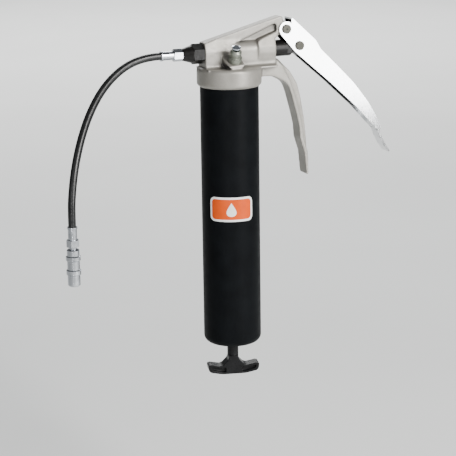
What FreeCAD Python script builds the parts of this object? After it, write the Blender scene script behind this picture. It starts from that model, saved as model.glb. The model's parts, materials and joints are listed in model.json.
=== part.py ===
import FreeCAD, Part
import math
import os
import re

import Sketcher

# A one-hand grease gun. +Z runs up the barrel, +X points from the barrel to the hand lever,
# and the origin is on the barrel's axis, half way up the straight part of its wall.
# Lengths are in millimetres.

DIMENSIONS = {
    # barrel
    "tube_r": 28.5, "tube_wall": 1.5, "tube_half": 125, "tube_thread_r": 28.1, "tube_top": 139,
    "tube_low": -132, "tube_corner": 7, "tube_hole_r": 6.6,
    "gasket_in_r": 25.6, "gasket_top": 140.5,
    "label_half_angle": 45, "label_thick": 0.15, "label_low": -3.5, "label_tall": 24,
    "label_facing": -22,
    # cap of the pump head
    "cap_r": 31.3, "cap_top": 144, "cap_bevel": 2.6, "cap_round": 3.2, "cap_bore_r": 28.2,
    "chamber_r": 24, "chamber_top": 142, "port_r": 3.5, "port_x": 0,
    # pump body, along X
    "pump_z": 158, "pump_r": 10, "pump_left": -27.6, "pump_right": 30,
    "saddle_low": 142, "saddle_foot": 16.5, "saddle_cove": 6,
    "block_left": 27, "block_right": 45, "block_half": 11.5, "block_low": 141,
    "block_shoulder": 162, "block_top": 176,
    "guide_bore_r": 8.06, "guide_bore_left": 24.5, "seal_bore_r": 7, "seal_left": 20,
    "pump_bore_r": 4.55, "pump_bore_left": -16, "outlet_bore_r": 6.1,
    # raised arm
    "arm_half": 6.5, "arm_shoulder": 160, "arm_top": 170.5, "arm_web_half": 2.2,
    "arm_boss_r": 6.2,
    # bleeder boss
    "boss_x": -1.8, "boss_y": -20, "boss_z": 151.3, "boss_turn": -10, "boss_tilt": 64,
    "boss_hole_r": 4.1, "boss_hole_depth": 7, "vent_r": 1.5, "vent_depth": 13,
    "lug_x": -2.5, "lug_z": 151.7, "lug_r": 8.7, "lug_front": -27,
    # fixed grip
    "rib_half": 3.5, "neck_half": 8.5,
    # hand lever
    "lever_half": 8.5, "lever_gauge": 1.6, "lever_shift": 1.2,
    "lever_ear_r": 7.2, "tongue_half": 7.3,
    "pivot_x": 57, "pivot_z": 177, "drive_x": 70.8, "drive_z": 160.15,
    "pivot_pin_r": 3, "drive_pin_r": 2.5, "pin_head_r": 4.5, "pin_head_thick": 1.5,
    "pin_tail": 3.0, "pin_groove": 0.9, "pin_play": 0.05,
    "clip_r": 5, "clip_thick": 0.8, "clip_gap": 0.3,
    # plunger and crosshead, along X
    "plunger_r": 4.5, "plunger_left": 4.6, "plunger_right": 58,
    "crosshead_r": 8, "crosshead_left": 36, "crosshead_right": 63, "crosshead_tip": 67.8,
    "crosshead_tip_r": 4.2, "crosshead_cup_r": 6.5, "crosshead_cup_end": 58,
    "crosshead_flat": 6.6, "crosshead_flat_left": 58.6,
    "eye_half": 5.9, "eye_right": 76.8, "eye_rise": 7.7,
    "eye_slot_half": 2.9, "eye_slot_rise": 2.4,
    "retainer_right": 26, "retainer_out_r": 7.9, "retainer_in_r": 4.75,
    "return_coil_r": 5.65, "return_wire_r": 0.55, "return_turns": 11,
    # outlet side, along X
    "nut_seat": -27.6, "nut_flat": 17, "nut_knee": -38.6, "nut_tip": -48.4, "nut_tip_r": 5.6,
    "nut_spigot_r": 6, "nut_spigot_end": -17.2, "nut_thread_r": 3.5, "nut_thread_end": -40,
    "nut_chamber_r": 3.6, "nut_passage_r": 1.8, "nut_chamber_end": -34,
    "seat_right": -17.2, "seat_left": -19.2, "seat_hole_r": 1.8,
    "ball_r": 2.8, "ball_x": -21.45,
    "check_coil_r": 2.4, "check_wire_r": 0.3, "check_turns": 6,
    "nipple_flat": 10.5, "nipple_left": -57.2, "nipple_spigot_r": 3.4,
    "passage_r": 1.5,
    # hose and its ferrules
    "ferrule_r": 4.2, "ferrule_lip_r": 4.8, "ferrule_lip": 1.6, "head_ferrule_end": -69.5,
    "hose_r": 3.6, "hose_end_x": -177, "hose_end_y": -50, "hose_end_z": 15,
    # coupler, down from the hose's end
    "lower_ferrule_low": 3, "stem_low": -3.8, "stem_neck_r": 3.6, "stem_neck_low": -6,
    "stem_thread_r": 3.4, "stem_thread_low": -13,
    "coupler_r": 5.9, "coupler_band_r": 6.9, "coupler_low": -41, "coupler_thread_r": 3.5,
    "coupler_chamber_r": 4.9, "coupler_chamber_top": -14.5, "coupler_chamber_low": -36.5,
    "mouth_r": 3.4, "band_one_top": -12, "band_one_low": -17, "band_two_top": -25,
    "band_two_low": -30.5, "band_bevel": 0.8,
    "jaw_r": 4.5, "jaw_in_r": 2.6, "jaw_top": -28, "jaw_low": -36, "jaw_gap_angle": 12,
    "cup_seal_top": -24.5, "cup_seal_low": -27.9, "cup_seal_in_r": 1.2,
    "coupler_coil_r": 3.6, "coupler_wire_r": 0.45, "coupler_turns": 5,
    # bleeder valve, along its own axis from the boss face
    "bleed_r": 6.3, "bleed_base": 4.6, "bleed_waist_r": 5, "bleed_waist_low": 5.4,
    "bleed_waist_top": 6.2, "bleed_bulge_r": 5.5, "bleed_bulge_low": 8.8,
    "bleed_bulge_top": 11, "bleed_top_r": 4.2, "bleed_top": 12.8, "bleed_cup_r": 3.6,
    "bleed_cup_low": 10.6, "bleed_thread_r": 4, "bleed_thread_low": -6,
    "bleed_bore_r": 2.1, "bleed_bore_low": 2.5, "bleed_vent_r": 1,
    "button_stem_r": 2, "button_stem_low": 8, "button_neck": 13.6, "button_disc_low": 15.2,
    "button_r": 4.3, "button_disc_top": 16, "button_top": 16.8,
    "bleed_coil_r": 1.5, "bleed_wire_r": 0.25, "bleed_turns": 6,
    # follower and rod
    "follower_r": 26.7, "follower_in_r": 25.2, "follower_top": 132, "follower_low": 120,
    "plate_r": 24, "plate_low": 127, "rod_r": 3.5, "rod_play": 0.06, "rod_top": 138,
    "rod_nut_flat": 12, "rod_nut_low": 132.1, "rod_nut_top": 136.5, "rod_low": -158,
    "spring_coil_r": 20, "spring_wire_r": 1.1, "spring_turns": 15,
    "bush_flange_r": 9.5, "bush_flange_top": -128.9, "bush_r": 6.5, "bush_low": -132.8,
    # pull handle
    "stem_r": 5.6, "stem_top": -133.6, "bar_half": 26, "bar_top": -155.6, "bar_sag": -153.4,
    "bar_end_low": -163.6, "bar_low": -167.2, "bar_depth_half": 6.5,
    "bar_pocket": 3.6, "bar_turn": -13, "rod_socket_low": -158.4,
}

# A rounded corner takes at most this share of the shorter edge beside it.
ROUND_SHARE = 0.47

NODES = []

doc = FreeCAD.newDocument("GreaseGun")
sheet = doc.addObject("Spreadsheet::Sheet", "Sizes")
for row, (alias, value) in enumerate(DIMENSIONS.items(), 1):
    sheet.set("A%d" % row, alias)
    sheet.set("B%d" % row, str(value))
    sheet.setAlias("B%d" % row, alias)
doc.recompute()


def size(alias):
    """The value of one cell of the sheet."""
    return float(sheet.get(alias))


def formula(text):
    """A formula in the sheet's words, written the way the document refers to its cells."""
    return re.sub(r"\b(?!sqrt\b)([a-z]\w*)", r"Sizes.\1", str(text))


def number(text):
    return float(sheet.evalExpression(formula(text)))


def place(part, spot=(0, 0, 0), rotation=None):
    """Puts a part at a spot given in the sheet's words, turned by a rotation."""
    part.Placement = FreeCAD.Placement(FreeCAD.Vector(0, 0, 0), rotation or FreeCAD.Rotation())
    for letter, text in zip("xyz", spot):
        part.setExpression("Placement.Base." + letter, formula(text))
    return part


UP = FreeCAD.Rotation()
ALONG_X = FreeCAD.Rotation(FreeCAD.Vector(0, 1, 0), 90)
SIDE_VIEW = FreeCAD.Rotation(FreeCAD.Vector(1, 0, 0), 90)
ACROSS_Y = FreeCAD.Rotation(FreeCAD.Vector(1, 0, 0), -90)
BLEEDER_TURN = FreeCAD.Rotation(FreeCAD.Vector(0, 0, 1), size("boss_turn")).multiply(
    FreeCAD.Rotation(FreeCAD.Vector(1, 0, 0), 90 - size("boss_tilt")))

PUMP_LINE = (("0", "0", "pump_z"), ALONG_X)
BARREL_LINE = (("0", "0", "0"), UP)
BLEEDER_LINE = (("boss_x", "boss_y", "boss_z"), BLEEDER_TURN)
COUPLER_LINE = (("hose_end_x", "hose_end_y", "0"), UP)


def node(part, label):
    """Marks a finished part as one of the gun's pieces."""
    part.Label = label
    NODES.append(part)
    return part


def hold_outline(sketch, outline):
    """Draws a closed outline of straight edges, with each corner held by two formulas."""
    corners = [FreeCAD.Vector(number(across), number(along), 0) for across, along in outline]
    count = len(corners)
    first = sketch.GeometryCount
    for index in range(count):
        sketch.addGeometry(Part.LineSegment(corners[index], corners[(index + 1) % count]), False)
    for index in range(count):
        following = first + (index + 1) % count
        sketch.addConstraint(Sketcher.Constraint("Coincident", first + index, 2, following, 1))
    for index, (across, along) in enumerate(outline):
        for kind, text, axis in (("DistanceX", across, -2), ("DistanceY", along, -1)):
            edge = first + index
            if abs(number(text)) < 1e-9:
                sketch.addConstraint(Sketcher.Constraint("PointOnObject", edge, 1, axis))
                continue
            held = sketch.addConstraint(
                Sketcher.Constraint(kind, -1, 1, edge, 1, number(text)))
            sketch.setExpression("Constraints[%d]" % held, formula(text))


def origin_plane(body, role):
    return [plane for plane in body.Origin.OriginFeatures if plane.Role == role][0]


def turned(label, outline, line=BARREL_LINE, rounds=()):
    """A lathe-turned piece: an outline of (radius, distance along the line), turned round.

    Each round is (corner of the outline, radius of the round).
    """
    body = doc.addObject("PartDesign::Body", label + "_body")
    sketch = body.newObject("Sketcher::SketchObject", label + "_outline")
    sketch.AttachmentSupport = [(origin_plane(body, "XZ_Plane"), "")]
    sketch.MapMode = "FlatFace"
    hold_outline(sketch, outline)
    solid = body.newObject("PartDesign::Revolution", label + "_turn")
    solid.Profile = sketch
    solid.ReferenceAxis = (sketch, ["V_Axis"])
    solid.Angle = 360
    for corner, radius in rounds:
        doc.recompute()
        ring_r, along = number(outline[corner][0]), number(outline[corner][1])
        picked = ["Edge%d" % index for index, edge in enumerate(solid.Shape.Edges, 1)
                  if isinstance(edge.Curve, Part.Circle)
                  and abs(edge.Curve.Radius - ring_r) < 1e-4
                  and abs(edge.Curve.Center.z - along) < 1e-4]
        rounded = body.newObject("PartDesign::Fillet", "%s_round_%d" % (label, corner))
        rounded.Base = (solid, picked)
        rounded.setExpression("Radius", formula(radius))
        solid = rounded
    place(body, *line)
    return body


def hexagon(flat):
    """The corners of a hexagon, from its size across the flats."""
    tip = "(%s) / sqrt(3)" % flat
    half_tip = "(%s) / sqrt(12)" % flat
    half_flat = "(%s) / 2" % flat
    return [(tip, "0"), (half_tip, half_flat), ("-" + half_tip, half_flat), ("-" + tip, "0"),
            ("-" + half_tip, "-" + half_flat), (half_tip, "-" + half_flat)]


def cut_hexagon(body, label, flat, start, finish):
    """Mills six flats on a turned piece between two distances along its line."""
    sketch = body.newObject("Sketcher::SketchObject", label + "_flats")
    sketch.AttachmentSupport = [(origin_plane(body, "XY_Plane"), "")]
    sketch.MapMode = "FlatFace"
    sketch.AttachmentOffset = FreeCAD.Placement(
        FreeCAD.Vector(0, 0, number(start)), FreeCAD.Rotation())
    sketch.setExpression("AttachmentOffset.Base.z", formula(start))
    hold_outline(sketch, hexagon(flat))
    ring = sketch.addGeometry(
        Part.Circle(FreeCAD.Vector(0, 0, 0), FreeCAD.Vector(0, 0, 1), number(flat)), False)
    sketch.addConstraint(Sketcher.Constraint("Coincident", ring, 3, -1, 1))
    held = sketch.addConstraint(Sketcher.Constraint("Radius", ring, number(flat)))
    sketch.setExpression("Constraints[%d]" % held, formula(flat))
    doc.recompute()
    before = body.Shape.Volume
    pocket = body.newObject("PartDesign::Pocket", label + "_mill")
    pocket.Profile = sketch
    pocket.Length = number("(%s) - (%s)" % (finish, start))
    pocket.setExpression("Length", formula("(%s) - (%s)" % (finish, start)))
    pocket.Reversed = True
    doc.recompute()
    if body.Shape.Volume >= before:
        raise RuntimeError(label + ": the flats cut nothing")
    return body


def fitting_radius(outline, corner, radius):
    """The largest round, up to the one asked for, that a corner's two edges leave room for."""
    spots = [FreeCAD.Vector(number(outline[(corner + step) % len(outline)][0]),
                            number(outline[(corner + step) % len(outline)][1]), 0)
             for step in (-1, 0, 1)]
    arriving = spots[1] - spots[0]
    leaving = spots[2] - spots[1]
    room = ROUND_SHARE * min(arriving.Length, leaving.Length)
    return min(radius, room / math.tan(arriving.getAngle(leaving) / 2))


def slab(label, outline, half, rounds=()):
    """A plate across Y: an outline of (x, z) corners, some of them rounded."""
    sketch = doc.addObject("Sketcher::SketchObject", label + "_outline")
    sketch.Placement = FreeCAD.Placement(FreeCAD.Vector(0, 0, 0), SIDE_VIEW)
    hold_outline(sketch, outline)
    doc.recompute()
    solid = doc.addObject("Part::Extrusion", label + "_slab")
    solid.Base = sketch
    solid.DirMode = "Normal"
    solid.Symmetric = True
    solid.Solid = True
    solid.setExpression("LengthFwd", formula("2 * (%s)" % half))
    doc.recompute()
    if not rounds:
        return solid
    picked = []
    for index, edge in enumerate(solid.Shape.Edges, 1):
        ends = [vertex.Point for vertex in edge.Vertexes]
        if len(ends) < 2 or abs(ends[0].x - ends[1].x) + abs(ends[0].z - ends[1].z) > 1e-6:
            continue
        for corner, radius in rounds:
            across, along = outline[corner]
            if math.hypot(ends[0].x - number(across), ends[0].z - number(along)) < 1e-4:
                allowed = fitting_radius(outline, corner, radius)
                picked.append((index, allowed, allowed))
    if len(picked) != len(rounds):
        raise RuntimeError(label + ": found %d of %d corners" % (len(picked), len(rounds)))
    rounded = doc.addObject("Part::Fillet", label + "_rounded")
    rounded.Base = solid
    rounded.Edges = picked
    return rounded


def across(label, outline, start, finish, rounds=()):
    """A bar along X between two stations: an outline of (y, z) corners, some rounded."""
    bar = slab(label + "_bar", outline, "((%s) - (%s)) / 2" % (finish, start), rounds)
    doc.recompute()
    middle = "((%s) + (%s)) / 2" % (start, finish)
    return place(bar, (middle, "0", "0"), FreeCAD.Rotation(FreeCAD.Vector(0, 0, 1), 90))


def box(label, low, high):
    """A block between two opposite corners, given in the sheet's words."""
    solid = doc.addObject("Part::Box", label)
    for name, start, finish in zip(("Length", "Width", "Height"), low, high):
        solid.setExpression(name, formula("(%s) - (%s)" % (finish, start)))
    return place(solid, low)


def rod(label, radius, length, spot, rotation=UP):
    """A plain cylinder that starts at a spot and runs along the turned Z axis."""
    solid = doc.addObject("Part::Cylinder", label)
    solid.setExpression("Radius", formula(radius))
    solid.setExpression("Height", formula(length))
    return place(solid, spot, rotation)


def join(label, parts):
    solid = doc.addObject("Part::MultiFuse", label)
    solid.Shapes = parts
    solid.Refine = True
    return solid


def cut(label, base, tools):
    solid = doc.addObject("Part::Cut", label)
    solid.Base = base
    solid.Tool = tools[0] if len(tools) == 1 else join(label + "_tools", tools)
    return solid


def overlap(label, parts):
    solid = doc.addObject("Part::MultiCommon", label)
    solid.Shapes = parts
    return solid


def coil(label, coil_r, wire_r, turns, start, finish, line=BARREL_LINE):
    """A helical spring whose wire lies between two distances along its line."""
    helix = doc.addObject("Part::Helix", label + "_helix")
    helix.setExpression("Radius", formula(coil_r))
    run = "((%s) - (%s) - 2 * (%s))" % (finish, start, wire_r)
    helix.setExpression("Height", formula(run))
    helix.setExpression("Pitch", formula("%s / (%s)" % (run, turns)))
    wire = doc.addObject("Part::Circle", label + "_section")
    wire.setExpression("Radius", formula(wire_r))
    wire.Placement = FreeCAD.Placement(FreeCAD.Vector(number(coil_r), 0, 0), SIDE_VIEW)
    sweep = doc.addObject("Part::Sweep", label + "_sweep")
    sweep.Sections = [wire]
    sweep.Spine = (helix, [])
    sweep.Solid = True
    sweep.Frenet = True
    spot, rotation = line
    base = FreeCAD.Vector(*[number(text) for text in spot])
    begin = rotation.multVec(FreeCAD.Vector(0, 0, number("(%s) + (%s)" % (start, wire_r))))
    sweep.Placement = FreeCAD.Placement(base + begin, rotation)
    return node(sweep, label)


# ---------------------------------------------------------------- barrel

def barrel():
    tube = turned("barrel_tube", [
        ("tube_hole_r", "tube_low + tube_wall"), ("tube_hole_r", "tube_low"),
        ("tube_r", "tube_low"), ("tube_r", "tube_half"), ("tube_thread_r", "tube_half"),
        ("tube_thread_r", "tube_top"), ("tube_r - tube_wall", "tube_top"),
        ("tube_r - tube_wall", "tube_low + tube_wall"),
    ], rounds=[(2, "tube_corner"), (7, "tube_corner - tube_wall")])
    node(turned("barrel_gasket", [
        ("gasket_in_r", "tube_top"), ("tube_thread_r", "tube_top"),
        ("tube_thread_r", "gasket_top"), ("gasket_in_r", "gasket_top"),
    ]), "barrel_gasket")
    # The label lies flush with the wall, so the barrel stays round where a clamp grips it.
    label_ring = turned("label_ring", [
        ("tube_r - label_thick", "label_low"), ("tube_r", "label_low"),
        ("tube_r", "label_low + label_tall"), ("tube_r - label_thick", "label_low + label_tall"),
    ])
    wedge = doc.addObject("Part::Cylinder", "label_wedge")
    wedge.setExpression("Radius", formula("2 * tube_r"))
    wedge.setExpression("Height", formula("2 * label_tall"))
    wedge.setExpression("Angle", formula("2 * label_half_angle"))
    start_angle = -90 + size("label_facing") - size("label_half_angle")
    place(wedge, ("0", "0", "label_low - label_tall / 2"),
          FreeCAD.Rotation(FreeCAD.Vector(0, 0, 1), start_angle))
    label = overlap("label_patch", [label_ring, wedge])
    node(label, "barrel_label")
    node(cut("tube_finished", tube, [label]), "barrel_tube")
    node(turned("rod_bush", [
        ("rod_r + rod_play", "bush_low"), ("bush_r", "bush_low"),
        ("bush_r", "tube_low + tube_wall"), ("bush_flange_r", "tube_low + tube_wall"),
        ("bush_flange_r", "bush_flange_top"), ("rod_r + rod_play", "bush_flange_top"),
    ]), "rod_bush")


# ---------------------------------------------------------------- pump head

def pump_head():
    cap = turned("cap", [
        ("0", "cap_top"), ("0", "tube_half"), ("cap_r - cap_bevel", "tube_half"),
        ("cap_r", "tube_half + cap_bevel"), ("cap_r", "cap_top"),
    ], rounds=[(4, "cap_round")])
    pump = rod("pump_barrel", "pump_r", "pump_right - pump_left",
               ("pump_left", "0", "pump_z"), ALONG_X)
    # The pump stands on the cap on a saddle that spreads into coves.
    saddle = across("saddle", [
        ("-saddle_foot", "saddle_low"), ("saddle_foot", "saddle_low"),
        ("saddle_foot", "cap_top"), ("pump_r", "cap_top"), ("pump_r", "pump_z"),
        ("-pump_r", "pump_z"), ("-pump_r", "cap_top"), ("-saddle_foot", "cap_top"),
    ], "pump_left", "block_right", [(3, size("saddle_cove")), (6, size("saddle_cove"))])
    # The arm is as wide as the pump at its foot and narrows upwards.
    arm_side = slab("arm_side", [
        ("pump_left", "pump_z"), ("pump_left", "168"), ("pump_left + 2", "168.9"),
        ("53.9", "190.2"), ("54.6", "184.4"), ("pivot_x", "pivot_z + 5"),
        ("pivot_x", "pivot_z - 5"), ("49", "171.4"), ("block_right", "168.6"),
        ("block_right", "pump_z"),
    ], "block_half", [(3, 3), (2, 3)])
    arm_front = across("arm_front", [
        ("-pump_r", "pump_z - 1"), ("pump_r", "pump_z - 1"), ("pump_r", "arm_shoulder"),
        ("arm_half", "arm_top"), ("arm_half", "arm_top + 20"), ("-arm_half", "arm_top + 20"),
        ("-arm_half", "arm_top"), ("-pump_r", "arm_shoulder"),
    ], "pump_left - 1", "pivot_x + 1")
    arm = overlap("arm", [arm_side, arm_front])
    arm_boss = rod("arm_boss", "arm_boss_r", "2 * arm_half",
                   ("pivot_x", "-arm_half", "pivot_z"), ACROSS_Y)
    # The block runs down into the neck and tapers up into the arm.
    block_side = slab("block_side", [
        ("block_left", "block_low"), ("block_left - 0.6", "167"), ("42", "176"),
        ("48.5", "178"), ("49", "171.4"), ("block_right", "168.6"),
        ("block_right", "block_low"),
    ], "block_half")
    block_front = across("block_front", [
        ("-neck_half", "block_low"), ("neck_half", "block_low"), ("block_half", "156"),
        ("block_half", "block_shoulder"), ("arm_half", "block_top"),
        ("arm_half", "block_top + 10"), ("-arm_half", "block_top + 10"),
        ("-arm_half", "block_top"), ("-block_half", "block_shoulder"), ("-block_half", "156"),
    ], "block_left - 2", "49.5")
    block = overlap("block", [block_side, block_front])

    neck = slab("neck", [
        ("28", "149"), ("28", "132.8"), ("42.5", "132.2"), ("57.8", "124.4"),
        ("62", "112.6"), ("67.4", "93"), ("70.3", "80.6"), ("71.2", "68.6"), ("75.9", "54"),
        ("78.2", "31.5"), ("80.4", "31.5"), ("79.6", "54.6"), ("74.9", "69.4"),
        ("74", "81.4"), ("71", "94"), ("65.7", "113.6"), ("61.2", "126.2"), ("56", "136"),
        ("53", "142"), ("46", "149"),
    ], "neck_half", [(2, 9), (3, 14), (4, 30), (5, 30), (6, 9), (7, 9), (8, 9), (9, 1),
                     (11, 9), (12, 9), (13, 9), (14, 30), (15, 30), (17, 8), (18, 6)])
    rib = slab("rib", [
        ("44", "150"), ("44", "135"), ("57.5", "126"), ("63", "112.5"), ("71.5", "80"),
        ("72.5", "68.6"), ("77", "54"), ("79", "31.5"), ("80.8", "31.5"), ("80.9", "50"),
        ("80", "67"), ("77.8", "87"), ("74.1", "108.3"), ("70.4", "122.6"), ("62.5", "135.5"),
        ("50", "148"),
    ], "rib_half", [(13, 20), (14, 20), (8, 1)])

    # The bleeder's lug stands out to -Y, and the bleeder's axis squares off its top.
    lug_body = rod("lug_body", "lug_r", "-lug_front", ("lug_x", "lug_front", "lug_z"), ACROSS_Y)
    lug_limit = turned("lug_limit", [
        ("0", "0"), ("3 * lug_r", "0"), ("3 * lug_r", "3 * lug_r"), ("0", "3 * lug_r"),
    ], BLEEDER_LINE)
    lug = cut("lug", lug_body, [lug_limit])
    solid = join("head_casting", [cap, pump, saddle, arm, arm_boss, block, neck, rib, lug])

    # The recess in each face of the arm leaves a thin web in the middle.
    recess = slab("recess", [
        ("-12.3", "160.3"), ("12.7", "169.8"), ("45.5", "182.9"), ("47.4", "180.8"),
        ("47.6", "175.6"), ("27.5", "168.5"), ("24", "160.3"),
    ], "block_half + 1", [(2, 1.5), (3, 1.5), (4, 1.5)])
    keep_web = box("recess_web", ("-20", "-arm_web_half", "150"), ("55", "arm_web_half", "190"))
    keep_pump = rod("recess_pump", "pump_r", "pump_right - pump_left",
                    ("pump_left", "0", "pump_z"), ALONG_X)
    recess_cut = cut("recess_cut", recess, [keep_web, keep_pump])

    bore = turned("barrel_socket", [
        ("0", "chamber_top"), ("0", "tube_half - 5"), ("cap_bore_r", "tube_half - 5"),
        ("cap_bore_r", "gasket_top"), ("chamber_r", "gasket_top"),
        ("chamber_r - 2", "chamber_top"),
    ])
    pump_bore = turned("pump_bore", [
        ("0", "pump_left - 5"), ("outlet_bore_r", "pump_left - 5"),
        ("outlet_bore_r", "pump_bore_left"), ("pump_bore_r", "pump_bore_left"),
        ("pump_bore_r", "seal_left"), ("seal_bore_r", "seal_left"),
        ("seal_bore_r", "guide_bore_left"), ("guide_bore_r", "guide_bore_left"),
        ("guide_bore_r", "block_right + 5"), ("0", "block_right + 5"),
    ], PUMP_LINE)
    port = rod("inlet_port", "port_r", "pump_z - chamber_top + 2",
               ("port_x", "0", "chamber_top - 2"))
    pivot_hole = rod("pivot_hole", "pivot_pin_r", "40", ("pivot_x", "-20", "pivot_z"), ACROSS_Y)
    bleeder_hole = turned("bleeder_hole", [
        ("0", "-vent_depth"), ("vent_r", "-vent_depth"), ("vent_r", "-boss_hole_depth"),
        ("boss_hole_r", "-boss_hole_depth"), ("boss_hole_r", "5"), ("0", "5"),
    ], BLEEDER_LINE)
    node(cut("head_finished", solid,
             [recess_cut, bore, pump_bore, port, pivot_hole, bleeder_hole]), "pump_head")


# ---------------------------------------------------------------- hand lever and its pins

LEVER_OUTLINE = [
    ("49.8", "187"), ("63.7", "187"), ("88.4", "164.2"), ("93.4", "155.4"), ("111", "138.2"),
    ("129.5", "119.5"), ("144.5", "100.5"), ("155.5", "82.5"), ("160.2", "72.6"),
    ("158", "68.6"), ("148", "78.9"), ("133.5", "94.6"), ("103.3", "122.5"), ("66", "154.6"),
    ("51.7", "171.3"), ("49.8", "175"),
]
LEVER_ROUNDS = [(1, 1.2), (2, 14), (3, 14), (4, 60), (5, 60), (6, 60), (7, 40), (8, 3),
                (9, 1), (10, 60), (11, 60), (12, 60), (13, 30)]


def hand_lever():
    outside = slab("lever_outside", LEVER_OUTLINE, "lever_half", LEVER_ROUNDS)
    inside = slab("lever_inside", [
        ("(%s) - lever_shift" % across, "(%s) - lever_shift" % along)
        for across, along in LEVER_OUTLINE
    ], "lever_half - lever_gauge")
    top = box("lever_top_gap", ("40", "-(lever_half - lever_gauge)", "170"),
              ("62.4", "lever_half - lever_gauge", "190"))
    mouth = slab("lever_mouth", [
        ("48", "178"), ("48", "160"), ("147", "66"), ("157", "66"), ("156", "74"),
        ("140", "88"), ("60", "172"),
    ], "lever_half - lever_gauge")
    tongue = slab("tongue", [
        ("155.2", "80"), ("156.6", "70"), ("159.6", "62"), ("164.2", "53.4"),
        ("169.4", "46.2"), ("170.6", "47.2"), ("165.8", "54.4"), ("161.3", "62.6"),
        ("158.4", "70.4"), ("157", "80"),
    ], "tongue_half", [(1, 20), (2, 20), (3, 20), (6, 20), (7, 20), (8, 20)])
    # Each cheek ends in an ear round the pivot.
    beyond = box("lever_ear_room", ("40", "-20", "pivot_z"), ("62.4", "20", "pivot_z + 20"))
    ear = rod("lever_ear", "lever_ear_r", "40", ("pivot_x", "-20", "pivot_z"), ACROSS_Y)
    ear_trim = cut("lever_ear_trim", beyond, [ear])
    shell = cut("lever_shell", outside, [inside, top, mouth, ear_trim])
    body = join("lever_body", [shell, tongue])
    pivot_hole = rod("lever_pivot_hole", "pivot_pin_r + pin_play", "40",
                     ("pivot_x", "-20", "pivot_z"), ACROSS_Y)
    drive_hole = rod("lever_drive_hole", "drive_pin_r", "40", ("drive_x", "-20", "drive_z"),
                     ACROSS_Y)
    node(cut("lever_finished", body, [pivot_hole, drive_hole]), "lever")


def cross_pin(label, spot_x, spot_z, radius):
    """A headed pin across the lever, with a groove near its far end, and the groove's clip."""
    line = ((spot_x, "0", spot_z), ACROSS_Y)
    face = "lever_half + clip_gap"
    groove = "lever_half + clip_gap + clip_thick"
    node(turned(label, [
        ("0", "-(%s) - pin_head_thick" % face),
        ("pin_head_r - 0.5", "-(%s) - pin_head_thick" % face),
        ("pin_head_r", "-(%s) - pin_head_thick + 0.5" % face),
        ("pin_head_r", "-(%s)" % face), (radius, "-(%s)" % face), (radius, face),
        (radius + " - pin_groove", face), (radius + " - pin_groove", groove),
        (radius, groove), (radius, "lever_half + pin_tail - 0.4"),
        (radius + " - 0.4", "lever_half + pin_tail"), ("0", "lever_half + pin_tail"),
    ], line), label)
    clip = turned(label + "_ring", [
        (radius + " - pin_groove", face), ("clip_r", face), ("clip_r", groove),
        (radius + " - pin_groove", groove),
    ], line)
    slot = box(label + "_clip_slot",
               (spot_x + " - 1.6", face + " - 1", spot_z + " - 10"),
               (spot_x + " + 1.6", groove + " + 1", spot_z))
    node(cut(label + "_clip", clip, [slot]), label.replace("pin", "clip"))


# ---------------------------------------------------------------- pump parts, along X

def pump_parts():
    node(turned("plunger", [
        ("0", "plunger_left"), ("plunger_r - 0.5", "plunger_left"),
        ("plunger_r", "plunger_left + 0.5"), ("plunger_r", "plunger_right"),
        ("0", "plunger_right"),
    ], PUMP_LINE), "plunger")
    sleeve = turned("crosshead_sleeve", [
        ("crosshead_cup_r", "crosshead_left"), ("crosshead_r", "crosshead_left"),
        ("crosshead_r", "crosshead_right"), ("crosshead_tip_r", "crosshead_tip"),
        ("0", "crosshead_tip"), ("0", "crosshead_cup_end"),
        ("crosshead_cup_r", "crosshead_cup_end"),
    ], PUMP_LINE)
    eye = slab("crosshead_eye", [
        ("crosshead_right", "pump_z - 1"), ("drive_x - 1", "pump_z - eye_rise"),
        ("eye_right", "pump_z - eye_rise"), ("eye_right", "pump_z + eye_rise"),
        ("crosshead_right", "pump_z + eye_rise"),
    ], "eye_half", [(2, 5.5), (3, 5.5)])
    within = rod("crosshead_envelope", "crosshead_r", "crosshead_right - crosshead_left + 20",
                 ("crosshead_left", "0", "pump_z"), ALONG_X)
    eye = overlap("crosshead_eye_round", [eye, within])
    slot = box("eye_slot", ("drive_x - eye_slot_half", "-20", "pump_z - eye_slot_rise"),
               ("drive_x + eye_slot_half", "20", "pump_z + eye_slot_rise"))
    ends = [rod("eye_slot_" + name, "eye_slot_half", "40",
                ("drive_x", "-20", "pump_z %s eye_slot_rise" % sign), ACROSS_Y)
            for name, sign in (("low", "-"), ("high", "+"))]
    # Two flats let the sleeve pass between the lever's cheeks.
    flats = [box("crosshead_flat_" + name, ("crosshead_flat_left", low, "pump_z - 20"),
                 ("crosshead_tip + 5", high, "pump_z + 20"))
             for name, low, high in (("front", "-20", "-crosshead_flat"),
                                     ("back", "crosshead_flat", "20"))]
    node(cut("crosshead_finished", join("crosshead_body", [sleeve, eye]),
             [slot] + ends + flats), "crosshead")
    node(turned("plunger_seal", [
        ("plunger_r + 0.05", "seal_left"), ("seal_bore_r", "seal_left"),
        ("seal_bore_r", "guide_bore_left"), ("plunger_r + 0.05", "guide_bore_left"),
    ], PUMP_LINE), "plunger_seal")
    node(turned("seal_retainer", [
        ("retainer_in_r", "guide_bore_left"), ("retainer_out_r", "guide_bore_left"),
        ("retainer_out_r", "retainer_right"), ("retainer_in_r", "retainer_right"),
    ], PUMP_LINE), "seal_retainer")
    coil("plunger_spring", "return_coil_r", "return_wire_r", "return_turns",
         "retainer_right", "crosshead_cup_end", PUMP_LINE)


# ---------------------------------------------------------------- outlet, along X

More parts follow.
